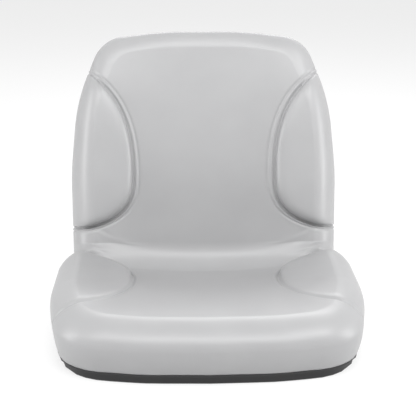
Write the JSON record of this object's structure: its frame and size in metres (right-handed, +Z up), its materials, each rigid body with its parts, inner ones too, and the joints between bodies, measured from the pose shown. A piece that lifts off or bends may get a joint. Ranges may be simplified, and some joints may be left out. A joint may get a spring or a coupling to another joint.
{
  "type": "tractor seat",
  "caption": "High-back bucket seat for a garden tractor: grey formed vinyl over moulded foam with side bolsters, on a black pressed steel pan with a rectangular bolt pattern.",
  "frame": {"origin": "centre of the bolt pattern, on the flat underside of the pan", "axes": "+Z up, -Y towards the front edge of the cushion, +X across the seat"},
  "size_m": [0.502, 0.5021, 0.4588],
  "materials": {
    "vinyl": "satin",
    "foam": "matte",
    "pan": "satin",
    "strip": "matte",
    "nuts": "satin"
  },
  "bodies": {
    "root": {"vinyl_cover": "vinyl", "foam_cushion": "foam", "seat_pan": "pan", "edge_strip": "strip", "weld_nuts": "nuts"}
  },
  "joints": []
}
